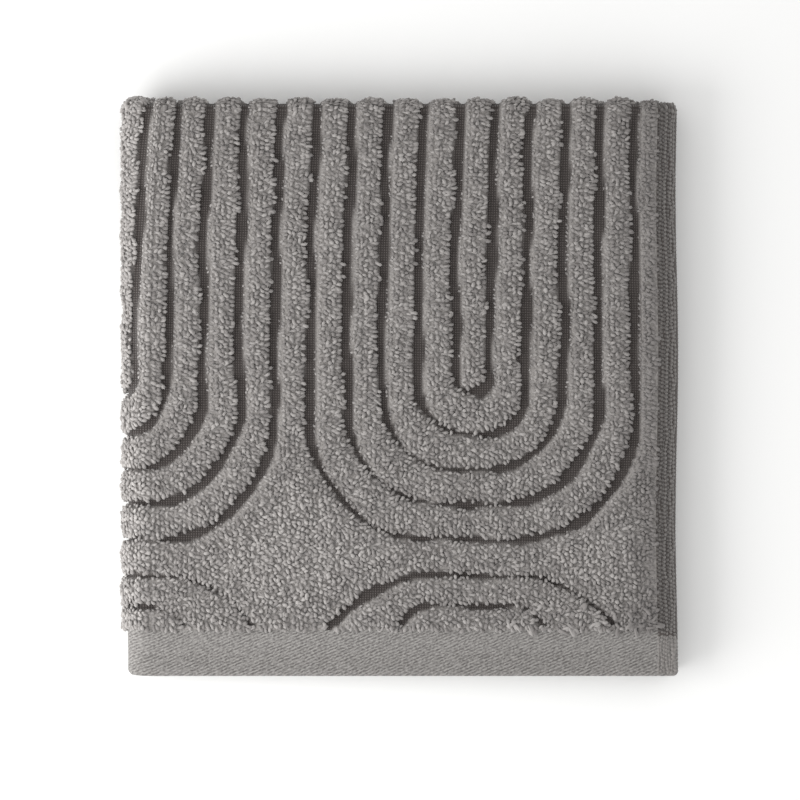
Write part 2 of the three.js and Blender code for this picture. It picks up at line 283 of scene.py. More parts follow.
def round_second_fold(x):
    """1 where the cloth runs round the second fold and 0 where it lies flat."""
    return 1 - smooth_step(np.abs(x), *FOLD_CHANGE)


def face_height(x, y):
    """The height of the sheet's face above its back."""
    body = mix(BODY, BODY_ROUND_FOLD, round_second_fold(x))
    body = mix(body, 1, smooth_step(y, 0, 2 * FIRST_ARC))
    pile = GROUND + pile_height(x, y) * body
    to_edge = np.minimum(HALF_WIDTH - np.abs(x), HALF_LENGTH - np.abs(y))
    rounded = EDGE_DROP * np.clip(1 - to_edge / EDGE_ROUNDING, 0, 1) ** 2
    return mix(HEM_THICKNESS - rounded, pile, pile_share(x, y))


def round_corners(x, y):
    """Draws the outermost corner squares of the cloth in to quarter circles."""
    past_x = np.maximum(np.abs(x) - HALF_WIDTH + CORNER, 0)
    past_y = np.maximum(np.abs(y) - HALF_LENGTH + CORNER, 0)
    share = np.maximum(past_x, past_y) / np.maximum(np.hypot(past_x, past_y), 1e-9)
    inward = np.where((past_x > 0) & (past_y > 0), 1 - share, 0)
    return x - np.sign(x) * past_x * inward, y - np.sign(y) * past_y * inward


def spaced(*spans):
    """Places in order, from (start, step) pairs, where each start is the last span's end."""
    places = []
    for (start, step), (end, _) in zip(spans, spans[1:]):
        places.append(np.linspace(start, end, max(1, round((end - start) / step)), endpoint=False))
    return np.concatenate([*places, [spans[-1][0]]])


def grid(columns, rows, heights, looks_up):
    """Points and four-cornered faces over columns and rows, and the outline's points, anticlockwise."""
    x, y = np.meshgrid(columns, rows)
    z = heights(x, y)
    x, y = round_corners(x, y)
    points = np.stack([x, y, z], axis=-1).reshape(-1, 3)
    index = np.arange(x.size).reshape(x.shape)
    corners = [index[:-1, :-1], index[:-1, 1:], index[1:, 1:], index[1:, :-1]]
    faces = np.stack(corners if looks_up else corners[::-1], axis=-1).reshape(-1, 4)
    outline = [index[0, :-1], index[:-1, -1], index[-1, :0:-1], index[:0:-1, 0]]
    return points, faces, np.concatenate(outline)


def rim(points, lower, upper):
    """Triangles between two outlines of the cloth, each taken from its first corner anticlockwise."""

    def travelled(outline):
        closed = points[[*outline, outline[0]]][:, :2]
        return np.concatenate([[0], np.cumsum(np.abs(np.diff(closed, axis=0)).sum(axis=1))])

    low_travel, high_travel = travelled(lower), travelled(upper)
    low_loop, high_loop = [*lower, lower[0]], [*upper, upper[0]]
    triangles = []
    i = j = 0
    while i < len(lower) or j < len(upper):
        along_low = j == len(upper) or (i < len(lower) and low_travel[i + 1] <= high_travel[j + 1])
        third = low_loop[i + 1] if along_low else high_loop[j + 1]
        triangles.append((low_loop[i], third, high_loop[j]))
        i += along_low
        j += not along_low
    return triangles


def add_piece(name, flat_points, faces, materials, attributes):
    """Folds a piece laid out on the flat cloth and adds it, with the values that its materials read.

    What would reach below the floor is pressed flat on it.
    """
    folded = fold(flat_points)
    folded[:, 2] = np.maximum(folded[:, 2], 0)
    mesh = bpy.data.meshes.new(name)
    mesh.from_pydata(folded.tolist(), [], [list(map(int, face)) for face in faces])
    for key, values in attributes.items():
        kind, field = ("FLOAT_VECTOR", "vector") if values.ndim > 1 else ("FLOAT", "value")
        attribute = mesh.attributes.new(key, kind, "POINT")
        attribute.data.foreach_set(field, values.astype(np.float32).ravel())
    for material in materials:
        mesh.materials.append(material)
    mesh.shade_smooth()
    piece = bpy.data.objects.new(name, mesh)
    bpy.context.scene.collection.objects.link(piece)
    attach(piece, "root")
    return piece


def linear(colour):
    """The linear colour of an sRGB hex value."""
    shares = [int(colour[place : place + 2], 16) / 255 for place in (1, 3, 5)]
    return [*(s / 12.92 if s <= 0.04045 else ((s + 0.055) / 1.055) ** 2.4 for s in shares), 1]


def node(material, kind, inputs=None, **settings):
    """Adds a node, gives it its settings, and fills its inputs with values or other nodes' outputs."""
    added = material.node_tree.nodes.new(kind)
    for key, value in settings.items():
        setattr(added, key, value)
    for key, value in (inputs or {}).items():
        if isinstance(value, bpy.types.NodeSocket):
            material.node_tree.links.new(value, added.inputs[key])
        else:
            added.inputs[key].default_value = value
    return added


def new_cotton(name):
    """Combed cotton: no gloss, and a soft bloom of short fibres where it turns away."""
    material = bpy.data.materials.new(name)
    material.use_nodes = True
    shader = material.node_tree.nodes["Principled BSDF"]
    shader.inputs["Roughness"].default_value = 0.95
    shader.inputs["Specular IOR Level"].default_value = 0.2
    shader.inputs["Sheen Weight"].default_value = 0.25
    shader.inputs["Sheen Roughness"].default_value = 0.5
    return material, shader


# A wave texture's bands lie this far apart at scale 1.
WAVE_BAND = 2 * math.pi / 20

# Terry ground: plain weave in hard-twisted yarn, coloured darker than the pile where it lies bare in the
# grooves. Up in the pile the same surface is the loops' own soft yarn, in uneven tufts coloured darker on
# the
# whole than the loops: painted shade in the gaps between them.
terry_ground, shader = new_cotton("terry_ground")
GROUND_YARN = 0.72
TUFTS_PER_MM = 1.7
flat_place = node(terry_ground, "ShaderNodeAttribute", attribute_name="flat_place").outputs["Vector"]
in_pile = node(terry_ground, "ShaderNodeAttribute", attribute_name="in_pile").outputs["Fac"]
warp_and_weft = [
    node(
        terry_ground,
        "ShaderNodeTexWave",
        {"Vector": flat_place, "Scale": WAVE_BAND / GROUND_YARN, "Distortion": 0.6, "Detail": 1},
        bands_direction=direction,
    ).outputs["Fac"]
    for direction in "XY"
]
weave = node(
    terry_ground, "ShaderNodeMath", {0: warp_and_weft[0], 1: warp_and_weft[1]}, operation="MULTIPLY"
).outputs[0]
bare = node(
    terry_ground,
    "ShaderNodeMix",
    {0: weave, 6: linear("#383331"), 7: linear("#6c6562")},
    data_type="RGBA",
).outputs[2]
tufts = node(
    terry_ground, "ShaderNodeTexNoise", {"Vector": flat_place, "Scale": TUFTS_PER_MM, "Detail": 1}
).outputs["Fac"]
# Painted shade: the body between the loops is coloured darker on the whole than the loops themselves.
pile_body_with_painted_shade = node(
    terry_ground,
    "ShaderNodeMix",
    {0: tufts, 6: linear("#5f5b58"), 7: linear("#aaa6a3")},
    data_type="RGBA",
).outputs[2]
colour = node(
    terry_ground, "ShaderNodeMix", {0: in_pile, 6: bare, 7: pile_body_with_painted_shade}, data_type="RGBA"
).outputs[2]
relief = node(
    terry_ground, "ShaderNodeMix", {0: in_pile, 2: weave, 3: tufts}, data_type="FLOAT"
).outputs[0]
bump = node(
    terry_ground, "ShaderNodeBump", {"Height": relief, "Strength": 0.8, "Distance": 0.45 * MM}
).outputs["Normal"]
terry_ground.node_tree.links.new(colour, shader.inputs["Base Color"])
terry_ground.node_tree.links.new(bump, shader.inputs["Normal"])

# Twill border: weft-faced twill in the loops' yarn. Its fine lines climb to the right at a low angle, and
# the soft yarn breaks them up into short dashes.
border_twill, shader = new_cotton("border_twill")
TWILL_LINE = 0.85
TWILL_ANGLE = math.radians(23)
DASH_LENGTH = 0.8
DASH_WIDTH = 0.42
DASH_SHARE = 0.55
flat_place = node(border_twill, "ShaderNodeAttribute", attribute_name="flat_place").outputs["Vector"]
turned = node(
    border_twill, "ShaderNodeMapping", {"Vector": flat_place, "Rotation": (0, 0, -TWILL_ANGLE)}
).outputs["Vector"]
lines = node(
    border_twill,
    "ShaderNodeTexWave",
    {
        "Vector": turned,
        "Scale": WAVE_BAND / TWILL_LINE,
        "Distortion": 2,
        "Detail": 2,
        "Detail Scale": 2.5,
    },
    bands_direction="Y",
).outputs["Fac"]
drawn_out = node(
    border_twill, "ShaderNodeMapping", {"Vector": turned, "Scale": (1 / DASH_LENGTH, 1 / DASH_WIDTH, 1)}
).outputs["Vector"]
dashes = node(
    border_twill, "ShaderNodeTexNoise", {"Vector": drawn_out, "Scale": 1, "Detail": 1}
).outputs["Fac"]
dashes = node(
    border_twill, "ShaderNodeMapRange", {"Value": dashes, "From Min": 0.36, "From Max": 0.64}
).outputs["Result"]
twill = node(
    border_twill, "ShaderNodeMix", {0: DASH_SHARE, 2: lines, 3: dashes}, data_type="FLOAT"
).outputs[0]
colour = node(
    border_twill,
    "ShaderNodeMix",
    {0: twill, 6: linear("#5a5755"), 7: linear("#9f9c99")},
    data_type="RGBA",
).outputs[2]
bump = node(
    border_twill, "ShaderNodeBump", {"Height": twill, "Strength": 0.8, "Distance": 0.25 * MM}
).outputs["Normal"]
border_twill.node_tree.links.new(colour, shader.inputs["Base Color"])
border_twill.node_tree.links.new(bump, shader.inputs["Normal"])

# Side hem: ground yarn packed close under the threads that lie along it, coloured dark.
PATCHES_PER_MM = 0.9
side_ground, shader = new_cotton("side_ground")
flat_place = node(side_ground, "ShaderNodeAttribute", attribute_name="flat_place").outputs["Vector"]
uneven = node(
    side_ground, "ShaderNodeTexNoise", {"Vector": flat_place, "Scale": PATCHES_PER_MM, "Detail": 3}
).outputs["Fac"]
colour = node(
    side_ground,
    "ShaderNodeMix",
    {0: uneven, 6: linear("#3f3a38"), 7: linear("#5c5653")},
    data_type="RGBA",
).outputs[2]
side_ground.node_tree.links.new(colour, shader.inputs["Base Color"])

# How far each fold reaches on the flat cloth, and how finely each stretch of the sheet is cut.
SECOND_REACH = 12
FIRST_REACH = 4
EDGE_STEP = 0.3
HEM_STEP = 1
FAR_HEM_STEP = 0.6
UNSEEN_HEM_STEP = 2
WALL_STEP = 0.4
FOLD_STEP = 0.8
TIGHT_FOLD_STEP = 0.5
UPPER_STEP = 1
LOWER_STEP = 1.7
ROW_STEP = 1.15
INNER_STEP = 7.4
BACK_STEP = 20
BACK_FOLD_STEP = 2
face_columns = spaced(
    (-HALF_WIDTH, EDGE_STEP),
    (EDGE_ROUNDING - HALF_WIDTH, FAR_HEM_STEP),
    (PILE_LEFT + WALL, LOWER_STEP),
    (-SECOND_REACH, FOLD_STEP),
    (SECOND_REACH, UPPER_STEP),
    (PILE_RIGHT - WALL, WALL_STEP),
    (PILE_RIGHT + WALL, HEM_STEP),
    (HALF_WIDTH - EDGE_ROUNDING, EDGE_STEP),
    (HALF_WIDTH, EDGE_STEP),
)
face_rows = spaced(
    (-HALF_LENGTH, EDGE_STEP),
    (EDGE_ROUNDING - HALF_LENGTH, HEM_STEP),
    (-PILE_END - WALL, WALL_STEP),
    (WALL - PILE_END, ROW_STEP),
    (-FIRST_REACH, TIGHT_FOLD_STEP),
    (FIRST_REACH, INNER_STEP),
    (PILE_END - WALL, TIGHT_FOLD_STEP),
    (PILE_END + WALL, UNSEEN_HEM_STEP),
    (HALF_LENGTH - EDGE_ROUNDING, EDGE_STEP),
    (HALF_LENGTH, EDGE_STEP),
)
back_columns = spaced(
    (-HALF_WIDTH, BACK_STEP),
    (-SECOND_REACH, BACK_FOLD_STEP),
    (SECOND_REACH, BACK_STEP),
    (HALF_WIDTH, BACK_STEP),
)
back_rows = spaced(
    (-HALF_LENGTH, BACK_STEP),
    (-FIRST_REACH, TIGHT_FOLD_STEP),
    (FIRST_REACH, BACK_STEP),
    (HALF_LENGTH, BACK_STEP),
)
face_points, face_quads, face_outline = grid(face_columns, face_rows, face_height, looks_up=True)
back_points, back_quads, back_outline = grid(
    back_columns, back_rows, lambda x, y: np.zeros(x.shape), looks_up=False
)
sheet_points = np.concatenate([face_points, back_points])
back_quads = back_quads + len(face_points)
back_outline = back_outline + len(face_points)
rim_triangles = rim(sheet_points, lower=back_outline, upper=face_outline)

grooves_shown = groove_distance(sheet_points[:, 0], sheet_points[:, 1])
in_pile_values = smooth_step(grooves_shown, BODY_PLACES[0], BODY_PLACES[1])
cloth = add_piece(
    "terry_cloth",
    sheet_points,
    [*face_quads, *back_quads, *rim_triangles],
    [terry_ground, border_twill, side_ground],
    {"flat_place": sheet_points, "in_pile": in_pile_values},
)
# In the side hems the border's twill starts this much further along.
BORDER_START = 2
material_indices = []
for polygon in cloth.data.polygons:
    centre = sheet_points[list(polygon.vertices)].mean(axis=0)
    beside_pile = centre[0] > PILE_RIGHT or centre[0] < PILE_LEFT
    if abs(centre[1]) > PILE_END + BORDER_START * beside_pile:
        material_indices.append(1)
    elif beside_pile:
        material_indices.append(2)
    else:
        material_indices.append(0)
cloth.data.polygons.foreach_set("material_index", material_indices)
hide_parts("washcloth")


# The terry loops
# The pile is warp yarn that stands out of the ground in small loops. They lean the way the pile is brushed.
# By a groove or the pile's edge they hang out over it, but on the brushed-up flank they are short and lie
# close.
LOOP_COLUMN = PITCH / 8
LOOP_ROW = 1.27
LOOP_LENGTH = 1.6
LOOP_WIDTH = 0.92
LOOP_NARROWED = 0.88
LOOP_YARN = 0.45
LOOP_BLUNTNESS = 1.7
LOOP_BEND = math.radians(24)
LONG_LOOP_WIDTH = 1.5
EDGE_END = 1.6
LOOP_FOOT = 0.3
OPEN_DISTANCE = 1.45
SHORN_EDGE = 0.3
COLUMN_JITTER = 0.25
ROW_JITTER = 0.28

# How a loop leans: towards an opening near it, with the brush, with its clump and at random.
LEAN_REACH = 3.6
LEAN_TO_OPENING = 0.35
LEAN_OVER_OPENING = 0.5
LEAN_OF_TUCKED = 0.35
LEAN_WITH_BRUSH = 0.32
LEAN_WITH_CLUMP = 0.2
LEAN_AT_RANDOM = 0.28
CLUMP_LENGTH = 9
STEADIER_WHEN_TUCKED = 0.6
FULL_LEAN = 1.25
STEEPEST = math.radians(68)
YAW_SPREAD = 0.8
STEADIER_NEAR_OPENING = 0.5

# How a loop's size changes: at random, longer over an opening, shorter beside one and where it is tucked.
SIZE_SPREAD = 0.15
LONGER_OVER_OPENING = 0.2
SHORTER_WHEN_TUCKED = 0.5
SHORTER_BY_OPENING = 0.12
TWIST_SPREAD = 0.7
FOOT_BACK = 0.35
STRETCH_CHANGE = 0.7

# Pile yarn: soft cotton, uneven in shade from loop to loop. Light and shade are painted into each loop's
# tone too: painted shade makes the ridges by the grooves darker than the wide field between the motifs, and
# the side by the right hem darker where the pile turns down away from the light; painted light makes the
# loops round the second fold, which faces the light, lighter.
RIDGE_SHADE = 0.26
FIELD_SHADE = 0.42
FOLD_PAINTED_LIGHT = 0.36
SHADE_SPREAD = 0.34
FIELD_FROM = 4.5
FIELD_TO = 9
SIDE_PAINTED_SHADE = 0.48
SIDE_PAINTED_SHADE_WIDTH = 16
pile_yarn, shader = new_cotton("pile_yarn")
tone_and_painted_light = node(pile_yarn, "ShaderNodeAttribute", attribute_name="tone_and_painted_light").outputs["Fac"]
colour = node(
    pile_yarn,
    "ShaderNodeMix",
    {0: tone_and_painted_light, 6: linear("#807c7a"), 7: linear("#b6b2af")},
    data_type="RGBA",
).outputs[2]
pile_yarn.node_tree.links.new(colour, shader.inputs["Base Color"])


def loop_shape(segments, sides, width=LOOP_WIDTH):
    """A loop of yarn, 1 high, as points and faces: the upper half of a ring, drawn up to a blunt top."""
    bpy.ops.mesh.primitive_torus_add(
        major_segments=segments,
        minor_segments=sides,
        major_radius=width / 2,
        minor_radius=LOOP_YARN,
        rotation=(math.pi / 2, 0, 0),
    )
    ring = bpy.context.object
    bpy.ops.object.transform_apply(rotation=True)
    bpy.ops.object.mode_set(mode="EDIT")
    bpy.ops.mesh.select_all(action="SELECT")
    bpy.ops.mesh.bisect(plane_co=(0, 0, 0), plane_no=(0, 0, 1), use_fill=True, clear_inner=True)
    bpy.ops.mesh.select_all(action="SELECT")
    bpy.ops.mesh.normals_make_consistent()
    bpy.ops.object.mode_set(mode="OBJECT")
    points = np.array([vertex.co for vertex in ring.data.vertices])
    faces = [list(polygon.vertices) for polygon in ring.data.polygons]
    points[:, 0] *= LOOP_NARROWED
    points[:, 2] = 1 - (1 - points[:, 2] / points[:, 2].max()) ** LOOP_BLUNTNESS
    bpy.data.objects.remove(ring)
    return points, faces


def opening_distance(x, y):
    """How far a place lies from the nearest groove's middle or, as if it were one, the loops' edge."""
    edge = np.minimum(np.minimum(PILE_RIGHT - SHORN_EDGE - x, x - PILE_LEFT), PILE_END + y)
    return np.minimum(groove_distance(x, y), edge + OPEN_DISTANCE)


def loop_places(x_span, y_span, column, row, seed):
    """Staggered places in rows, where the cloth carries pile."""
    random = np.random.default_rng(seed)
    first, last = (math.ceil((x - MIDDLE_MOTIF) / column - 0.5) for x in x_span)
    columns = MIDDLE_MOTIF + (np.arange(first, last) + 0.5) * column
    rows = np.arange(y_span[0], y_span[1], row)
    x, y = np.meshgrid(columns, rows)
    y = y + row / 2 * (np.arange(first, last) % 2)
    x = (x + random.uniform(-COLUMN_JITTER, COLUMN_JITTER, x.shape) * column).ravel()
    y = (y + random.uniform(-ROW_JITTER, ROW_JITTER, y.shape) * row).ravel()
    keep = (opening_distance(x, y) > OPEN_DISTANCE) & (y < y_span[1])
    return x[keep], y[keep]


def unit(vectors):
    return vectors / np.linalg.norm(vectors, axis=-1, keepdims=True)


def fold_stretch(x, y):
    """How far the folds stretch the face of the cloth that runs round them, across and along it."""
    by_second = round_second_fold(x)
    by_first = 1 - smooth_step(np.abs(y), FIRST_ARC - STRETCH_CHANGE, FIRST_ARC + STRETCH_CHANGE)
    across = mix(1, SECOND_OUTER / SECOND_RADIUS, by_second)
    along = mix(1, FIRST_OUTER / FIRST_RADIUS, by_first)
    return np.stack([across, along], axis=-1)


def loops_at(shape, x, y, length, thickness, wildness, seed):
    """The points and faces of a loop at each place, and each loop's tone with painted light and shade in it.
    """
    shape_points, shape_faces = shape
    random = np.random.default_rng(seed)
    count = len(x)
    slope_x = opening_distance(x + SLOPE_STEP, y) - opening_distance(x - SLOPE_STEP, y)
    slope_y = opening_distance(x, y + SLOPE_STEP) - opening_distance(x, y - SLOPE_STEP)
    towards = -unit(np.stack([slope_x, slope_y + 1e-6], axis=-1))
    near = 1 - smooth_step(opening_distance(x, y), OPEN_DISTANCE, OPEN_DISTANCE + LEAN_REACH)
    with_brush = near * (towards @ BRUSHED)
    over_opening = np.maximum(with_brush, 0)
    tucked = np.maximum(-with_brush, 0)
    pull = near * LEAN_TO_OPENING + LEAN_OVER_OPENING * over_opening - LEAN_OF_TUCKED * tucked
    clump = [unevenness(x, y, CLUMP_LENGTH, seed=6), unevenness(x, y, CLUMP_LENGTH, seed=7)]
    lean = towards * pull[:, None] + LEAN_WITH_BRUSH * BRUSHED
    lean = lean + LEAN_WITH_CLUMP * np.stack(clump, axis=-1)
    at_random = wildness * random.normal(0, 1, (count, 2))
    lean = lean + at_random * (1 - STEADIER_WHEN_TUCKED * tucked[:, None])
    tilt = np.minimum(np.linalg.norm(lean, axis=-1), FULL_LEAN) / FULL_LEAN * STEEPEST
    lean = unit(lean)

    up = np.stack([lean[:, 0] * np.sin(tilt), lean[:, 1] * np.sin(tilt), np.cos(tilt)], axis=-1)
    turned = random.normal(0, YAW_SPREAD, count) * (1 - STEADIER_NEAR_OPENING * near)
    yaw = np.arctan2(lean[:, 1], lean[:, 0]) + turned
    along = np.stack([np.cos(yaw), np.sin(yaw), np.zeros(count)], axis=-1)
    along = unit(along - (along * up).sum(axis=-1, keepdims=True) * up)
    side = np.cross(up, along)
    fall = np.stack([lean[:, 0] * np.cos(tilt), lean[:, 1] * np.cos(tilt), -np.sin(tilt)], axis=-1)

    sizes = random.uniform(1 - SIZE_SPREAD, 1 + SIZE_SPREAD, (count, 2))
    grown = 1 + LONGER_OVER_OPENING * over_opening
    grown = grown - SHORTER_WHEN_TUCKED * tucked - SHORTER_BY_OPENING * near
    length = length * sizes[:, 1] * grown
    sizes = thickness * sizes * (1 + grown[:, None]) / 2
    twist = random.normal(0, TWIST_SPREAD, count)[:, None] * shape_points[:, 2]
    wide = shape_points[:, 0] * np.cos(twist) - shape_points[:, 1] * np.sin(twist)
    deep = shape_points[:, 0] * np.sin(twist) + shape_points[:, 1] * np.cos(twist)
    wide, deep = wide * sizes[:, :1], deep * sizes[:, :1]
    bend = LOOP_BEND * shape_points[:, 2]
    high = shape_points[:, 2] * np.cos(bend) * length[:, None]
    fallen = shape_points[:, 2] * np.sin(bend) * length[:, None]

    stretch = fold_stretch(x, y)
    foot_x, foot_y = (np.stack([x, y], axis=-1) - FOOT_BACK * length[:, None] * up[:, :2] / stretch).T
    foot_z = face_height(foot_x, foot_y) - LOOP_FOOT
    offsets = sum(
        amount[:, :, None] * direction[:, None, :]
        for amount, direction in ((wide, along), (deep, side), (high, up), (fallen, fall))
    )
    offsets[:, :, :2] /= stretch[:, None, :]
    points = np.stack([foot_x, foot_y, foot_z], axis=-1)[:, None, :] + offsets
    starts = range(0, count * len(shape_points), len(shape_points))
    faces = [[start + corner for corner in face] for start in starts for face in shape_faces]
    # Painted shade: loops on the ridges, near the grooves, are coloured darker than those on the open field.
    # The random spread is the yarn's own unevenness.
    in_field = smooth_step(opening_distance(x, y), FIELD_FROM, FIELD_TO)
    shade = mix(RIDGE_SHADE, FIELD_SHADE, in_field) + random.uniform(-SHADE_SPREAD, SHADE_SPREAD, count)
    # Painted light: loops round the second fold, which faces the light, are coloured lighter.
    shade = shade + FOLD_PAINTED_LIGHT * round_second_fold(x)
    # Painted shade: loops towards the right hem, where the pile turns down away from the light, are coloured
    # darker.
    painted_side_shade = SIDE_PAINTED_SHADE * smooth_step(x, PILE_RIGHT - SIDE_PAINTED_SHADE_WIDTH, PILE_RIGHT)
    shade = np.maximum(shade - painted_side_shade, 0)
    return points.reshape(-1, 3), faces, np.repeat(shade, len(shape_points))


def add_loops(name, x_span, column, row, shape, seed):
    """The loops over a span across the cloth, from the border up and round the first fold."""
    edge_row = row * FIRST_RADIUS / FIRST_OUTER
    on_face = loop_places(x_span, (-PILE_END, -FIRST_ARC), column, row, seed)
    on_edge = loop_places(x_span, (-FIRST_ARC, EDGE_END), column, edge_row, seed + 100)
    x, y = np.concatenate([on_face, on_edge], axis=1)
    points, faces, shade = loops_at(
        shape, x, y, LOOP_LENGTH, thickness=1, wildness=LEAN_AT_RANDOM, seed=seed
    )
    return add_piece(name, points, faces, [pile_yarn], {"tone_and_painted_light": shade})


# The face is split into lots that each stay light enough. Loops on the underside lie pressed and can be
# coarser and further apart.
FOLD_LOOPS_START = -SECOND_ARC - 4
UPPER_SPLITS = (57, 106)
LOWER_SPLIT = -88
PRESSED_COLUMN = PITCH / 6
PRESSED_ROW = 2
full_loop = loop_shape(segments=8, sides=5)
pressed_loop = loop_shape(segments=6, sides=4)
long_loop = loop_shape(segments=16, sides=6, width=LONG_LOOP_WIDTH)
fold_loops = add_loops(
    "fold_loops",
    (FOLD_LOOPS_START, SECOND_ARC),
    LOOP_COLUMN * SECOND_RADIUS / SECOND_OUTER,
    LOOP_ROW,
    full_loop,
    seed=9,
)
upper_edges = [SECOND_ARC, *UPPER_SPLITS, PILE_RIGHT]
upper_loops = [
    add_loops(f"upper_loops_{i}", span, LOOP_COLUMN, LOOP_ROW, full_loop, seed=10 + i)
    for i, span in enumerate(zip(upper_edges, upper_edges[1:]))
]
lower_edges = [PILE_LEFT, LOWER_SPLIT, FOLD_LOOPS_START]
lower_loops = [
    add_loops(f"lower_loops_{i}", span, PRESSED_COLUMN, PRESSED_ROW, pressed_loop, seed=20 + i)
    for i, span in enumerate(zip(lower_edges, lower_edges[1:]))
]

# Washing has pulled some loops long. They are spread over the face, with more of them, and longer ones, by
# the border towards the open corner.
STRAYS = 90
STRAY_LENGTH = 2.2
STRAY_THICKNESS = 0.9
STRAY_WILDNESS = 0.8
CORNER_STRAYS = 55
CORNER_STRAY_LENGTH = 3.2
CORNER_WIDTH = 42
CORNER_HEIGHT = 7
CROWDED_TO_SIDE = 1.3
CROWDED_TO_BORDER = 2
stray_random = np.random.default_rng(31)
stray_x = stray_random.uniform(SECOND_ARC, PILE_RIGHT, STRAYS)
stray_y = stray_random.uniform(-PILE_END, 0, STRAYS)
corner_x = PILE_RIGHT - CORNER_WIDTH * stray_random.uniform(0, 1, CORNER_STRAYS) ** CROWDED_TO_SIDE
corner_y = CORNER_HEIGHT * stray_random.uniform(0, 1, CORNER_STRAYS) ** CROWDED_TO_BORDER - PILE_END
stray_x = np.concatenate([stray_x, corner_x])
stray_y = np.concatenate([stray_y, corner_y])
stray_length = np.concatenate([np.full(STRAYS, STRAY_LENGTH), np.full(CORNER_STRAYS, CORNER_STRAY_LENGTH)])
on_pile = opening_distance(stray_x, stray_y) > OPEN_DISTANCE
points, faces, shade = loops_at(
    long_loop,
    stray_x[on_pile],
    stray_y[on_pile],
    stray_length[on_pile],
    thickness=STRAY_THICKNESS,
    wildness=STRAY_WILDNESS,
    seed=32,
)
stray_loops = add_piece("stray_loops", points, faces, [pile_yarn], {"tone_and_painted_light": shade})


# The selvages
# Along both sides the weave is closed off with packed threads that lie lengthwise, a little wavy. Weft
# yarns bind them, so each rises and sinks in turn. At the very edge the weft turns back and ribs it.
THREAD_PITCH = 0.74
THREAD_RADIUS = 0.4
THREAD_FLATNESS = 0.75
THREAD_SIDES = 4
THREAD_END = 0.7
THICKER_IN_BORDER = 0.15
THREAD_WAVE = 0.22
THREAD_WAVE_LENGTH = 7
THREAD_SHADES = (0, 0.12, 0, 0.28, 0.02, 0.3, 0.25)
BORDER_SHADE = 0.6
BORDER_CHANGE = 2
KNOT_PITCH = 1.16
KNOT_SWELL = 0.3
KNOT_RISE = 0.16
# Painted shade and light: a thread is coloured darker where it dips under a weft yarn, lighter where it
# rises.
KNOT_PAINTED_SHADE = 0.45
KNOT_UNEVEN = 1.3
KNOT_FADED_IN_BORDER = 0.6
KNOT_STAGGER = 2.1
HOLE_ROW = -PILE_END - 1.1
HOLE_LENGTH = 0.6
HOLE_DEPTH = 0.35
TURN_PITCH = 1.16
TURN_REACH = 1.5
TURN_SPREAD = 0.07
TURN_YARN = 0.9
TURN_OUTSIDE = 0.15
TURN_RAISED = 0.1
TURN_SUNK = 0.15
TURN_SHADES = (0.3, 0.45)
TURN_BORDER_SHADE = 0.4

# Selvage yarn: harder than the pile's and coloured darker, and lighter along the border. Painted shade and
# painted light in its tone make each thread darker where it dips under a weft yarn and lighter where it
# rises.
selvage_yarn, shader = new_cotton("selvage_yarn")
tone_and_painted_light = node(selvage_yarn, "ShaderNodeAttribute", attribute_name="tone_and_painted_light").outputs["Fac"]
colour = node(
    selvage_yarn,
    "ShaderNodeMix",
    {0: tone_and_painted_light, 6: linear("#3b3634"), 7: linear("#96928f")},
    data_type="RGBA",
).outputs[2]
selvage_yarn.node_tree.links.new(colour, shader.inputs["Base Color"])


def selvage_thread(x, base_shade, rows, seed):
    """A flattened wavy thread along the cloth, which swells between the weft yarns that bind it."""
    column = np.full(len(rows), float(x))
    wavy = column + THREAD_WAVE * unevenness(column, rows, THREAD_WAVE_LENGTH, seed)
    hole = HOLE_DEPTH * np.exp(-(((rows - HOLE_ROW) / HOLE_LENGTH) ** 2))
    uneven = KNOT_UNEVEN * unevenness(column, rows, THREAD_WAVE_LENGTH, seed + 100)
    knots = np.sin(2 * math.pi * rows / KNOT_PITCH + KNOT_STAGGER * seed + uneven)
    centre = np.stack([wavy, rows, face_height(column, rows) - hole + KNOT_RISE * knots], axis=-1)
    in_border = smooth_step(-rows, PILE_END, PILE_END + BORDER_CHANGE)
    turns = np.arange(THREAD_SIDES) * 2 * math.pi / THREAD_SIDES
    ring = [np.cos(turns), 0 * turns, THREAD_FLATNESS * np.sin(turns)]
    ring = THREAD_RADIUS * np.stack(ring, axis=-1)
    thickness = 1 + KNOT_SWELL * knots + THICKER_IN_BORDER * in_border
    points = (centre[:, None, :] + thickness[:, None, None] * ring).reshape(-1, 3)
    corner = np.arange(THREAD_SIDES)
    next_corner = (corner + 1) % THREAD_SIDES
    starts = np.arange(len(rows) - 1)[:, None] * THREAD_SIDES
    quads = [starts + corner, starts + THREAD_SIDES + corner]
    quads += [starts + THREAD_SIDES + next_corner, starts + next_corner]
    faces = np.stack(quads, axis=-1).reshape(-1, 4).tolist()
    faces += [corner.tolist(), (len(points) - 1 - corner).tolist()]
    shade = base_shade + (BORDER_SHADE - base_shade / 2) * in_border
    # Painted shade and light: darker where the thread dips under a weft yarn, lighter where it rises, less
    # so along the border.
    shade = shade + KNOT_PAINTED_SHADE * (knots + 1) / 2 * (1 - KNOT_FADED_IN_BORDER * in_border)
    shade = np.repeat(shade, THREAD_SIDES)
    return points, faces, shade


